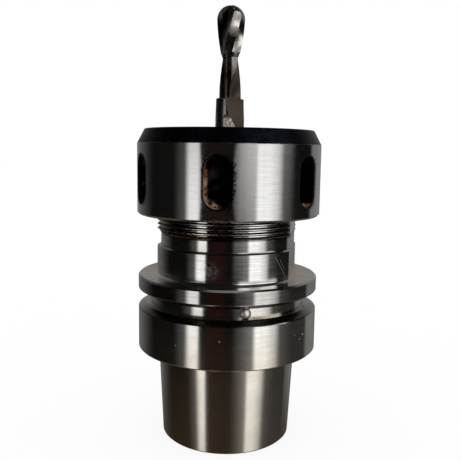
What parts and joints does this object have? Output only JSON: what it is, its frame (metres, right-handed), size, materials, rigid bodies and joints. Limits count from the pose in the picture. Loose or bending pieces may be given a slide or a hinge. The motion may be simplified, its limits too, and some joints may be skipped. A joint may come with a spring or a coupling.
{
  "type": "collet chuck",
  "caption": "Hollow taper collet chuck with gripper flange, slotted clamping nut, spring collet and a ball-nose cutter held in it.",
  "frame": {"origin": "centre of the flange's contact face on the axis, where the holder seats in the spindle", "axes": "+Z along the axis from the spindle to the cutter, +X and -X out of the two wrench flats"},
  "size_m": [0.0638, 0.0638, 0.1498],
  "materials": {
    "ground_steel": "ground, oily grey",
    "polished_pin": "polished",
    "nut_steel": "ground, with black oxide at the front and in the pockets",
    "hardened_steel": "fine ground",
    "bronze": "turned",
    "spring_steel": "blued",
    "carbide": "ground, dark grey"
  },
  "bodies": {
    "holder": {"holder_body": "ground_steel", "groove_pin": "polished_pin"},
    "collet_set": {"collet": "hardened_steel", "thrust_ring": "hardened_steel"},
    "nut": {"nut_body": "nut_steel", "slide_ring": "bronze", "snap_ring": "spring_steel"},
    "tool": {"cutter": "carbide"}
  },
  "joints": [
    {"name": "nut_lift", "type": "slide", "parent": "holder", "child": "collet_set", "axis": [0, 0, 1], "range_m": [0, 0.018]},
    {"name": "nut_turn", "type": "hinge", "parent": "collet_set", "child": "nut", "pos_m": [0, 0, 0.0615], "axis": [0, 0, 1], "range_deg": [0, 4320]},
    {"name": "cutter_slide", "type": "slide", "parent": "collet_set", "child": "tool", "axis": [0, 0, 1], "range_m": [0, 0.03]}
  ],
  "couplings": [
    {"joint": "nut_lift", "follows": "nut_turn", "m_per_rad": 0.00023873}
  ]
}
